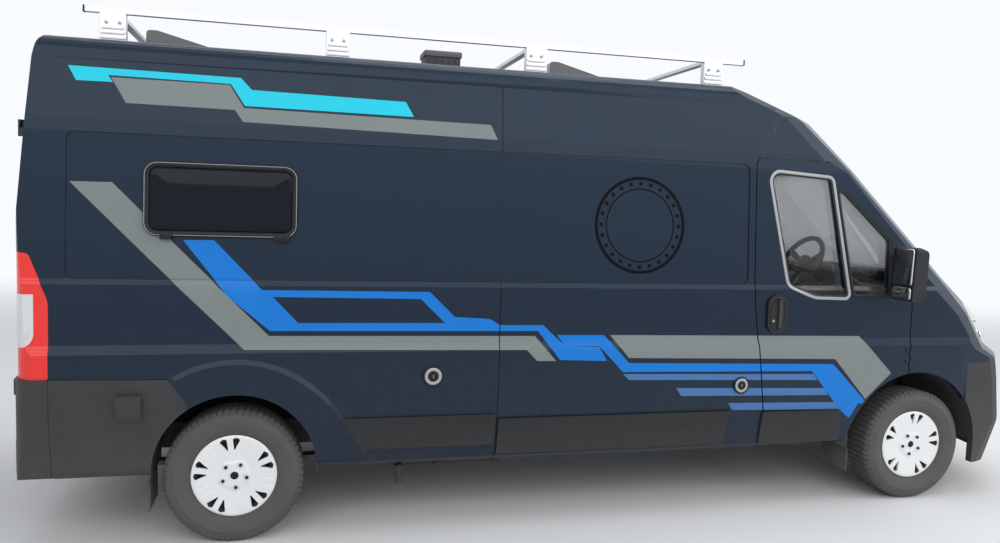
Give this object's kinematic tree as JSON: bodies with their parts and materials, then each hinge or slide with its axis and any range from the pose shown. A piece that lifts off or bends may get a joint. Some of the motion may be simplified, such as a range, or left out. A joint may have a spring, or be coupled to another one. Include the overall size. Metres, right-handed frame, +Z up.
{
  "type": "camper van",
  "caption": "High-roof panel-van camper with opening cab and rear doors, bonnet, steered front wheels, roof rack, roof fans, side windows and moulded cladding.",
  "frame": {"origin": "on the ground below the middle of the overall box", "axes": "+X forward, +Y to the van's left, +Z up"},
  "size_m": [5.998, 2.5, 2.6518],
  "materials": {
    "paint": "dark blue-black metallic gloss paint",
    "dark_plastic": "fine-grained dark grey moulding",
    "grille_black": "black, satin",
    "underbody": "black underseal and moulded plastic",
    "lamp_clear": "clear lens over a bright bowl",
    "lamp_red": "red lens",
    "clear_glass": "clear, slightly tinted",
    "tinted_glass": "dark tinted",
    "engine_metal": "cast, dull",
    "chassis_metal": "black chassis paint",
    "trim_plastic": "grained dark grey",
    "seat_fabric": "dark grey woven cloth",
    "rack_aluminium": "pale anodised",
    "fan_plastic": "smoked grey",
    "flap_rubber": "black, dull",
    "tyre": "dark grey, dull",
    "rim_silver": "silver lacquer"
  },
  "bodies": {
    "body": {"roof": "paint", "quarter_right": "paint", "quarter_left": "paint", "mid_panel_right": "paint", "sliding_door": "paint", "cab_frame": "paint", "floor_pan": "underbody", "wings": "paint", "front_bumper": "dark_plastic", "grille": "grille_black", "headlamps": "lamp_clear", "windscreen": "clear_glass", "tail_lamps": "lamp_red", "rear_bumper": "dark_plastic", "rear_claddings": "dark_plastic", "side_mouldings": "dark_plastic", "window_frames": "dark_plastic", "window_panes": "tinted_glass", "wheel_liners": "underbody", "engine_block": "engine_metal", "front_subframe": "chassis_metal", "rear_axle": "chassis_metal", "underfloor_tanks": "underbody", "dashboard": "trim_plastic", "steering_wheel": "trim_plastic", "cab_seats": "seat_fabric", "roof_rack": "rack_aluminium", "roof_fans": "fan_plastic", "mud_flaps": "flap_rubber", "service_caps": "dark_plastic", "hinge_pins": "dark_plastic"},
    "bonnet": {"hood": "paint"},
    "front_door_right": {"door_right": "paint", "door_glass_right": "clear_glass", "door_fittings_right": "dark_plastic"},
    "front_door_left": {"door_left": "paint", "door_glass_left": "clear_glass", "door_fittings_left": "dark_plastic"},
    "rear_door_right": {"rear_door_right": "paint", "rear_glass_right": "tinted_glass"},
    "rear_door_left": {"rear_door_left": "paint", "rear_glass_left": "tinted_glass"},
    "steer_right": {"knuckle_right": "chassis_metal"},
    "steer_left": {"knuckle_left": "chassis_metal"},
    "wheel_front_right": {"tyre_front_right": "tyre", "rim_front_right": "rim_silver"},
    "wheel_front_left": {"tyre_front_left": "tyre", "rim_front_left": "rim_silver"},
    "wheel_rear_right": {"tyre_rear_right": "tyre", "rim_rear_right": "rim_silver"},
    "wheel_rear_left": {"tyre_rear_left": "tyre", "rim_rear_left": "rim_silver"}
  },
  "joints": [
    {"name": "bonnet_hinge", "type": "hinge", "parent": "body", "child": "bonnet", "pos_m": [2.375, 0, 1.388], "axis": [0, -1, 0], "range_deg": [0, 55]},
    {"name": "front_door_right_hinge", "type": "hinge", "parent": "body", "child": "front_door_right", "pos_m": [1.963, -1.028, 0.9], "axis": [0, 0, 1], "range_deg": [0, 70]},
    {"name": "front_door_left_hinge", "type": "hinge", "parent": "body", "child": "front_door_left", "pos_m": [1.963, 1.028, 0.9], "axis": [0, 0, -1], "range_deg": [0, 70]},
    {"name": "rear_door_right_hinge", "type": "hinge", "parent": "body", "child": "rear_door_right", "pos_m": [-2.985, -0.791, 1.4], "axis": [0, 0, 1], "range_deg": [0, 180]},
    {"name": "rear_door_left_hinge", "type": "hinge", "parent": "body", "child": "rear_door_left", "pos_m": [-2.985, 0.791, 1.4], "axis": [0, 0, -1], "range_deg": [0, 180]},
    {"name": "steer_right", "type": "hinge", "parent": "body", "child": "steer_right", "pos_m": [2.051, -0.8, 0.341], "axis": [0, 0, 1], "range_deg": [-36, 36]},
    {"name": "steer_left", "type": "hinge", "parent": "body", "child": "steer_left", "pos_m": [2.051, 0.8, 0.341], "axis": [0, 0, 1], "range_deg": [-36, 36]},
    {"name": "wheel_front_right_spin", "type": "hinge", "parent": "steer_right", "child": "wheel_front_right", "pos_m": [2.051, -0.905, 0.341], "axis": [0, 1, 0], "continuous": true},
    {"name": "wheel_front_left_spin", "type": "hinge", "parent": "steer_left", "child": "wheel_front_left", "pos_m": [2.051, 0.905, 0.341], "axis": [0, 1, 0], "continuous": true},
    {"name": "wheel_rear_right_spin", "type": "hinge", "parent": "body", "child": "wheel_rear_right", "pos_m": [-1.984, -0.895, 0.341], "axis": [0, 1, 0], "continuous": true},
    {"name": "wheel_rear_left_spin", "type": "hinge", "parent": "body", "child": "wheel_rear_left", "pos_m": [-1.984, 0.895, 0.341], "axis": [0, 1, 0], "continuous": true}
  ],
  "couplings": [
    {"joint": "steer_left", "follows": "steer_right", "ratio": 1}
  ]
}
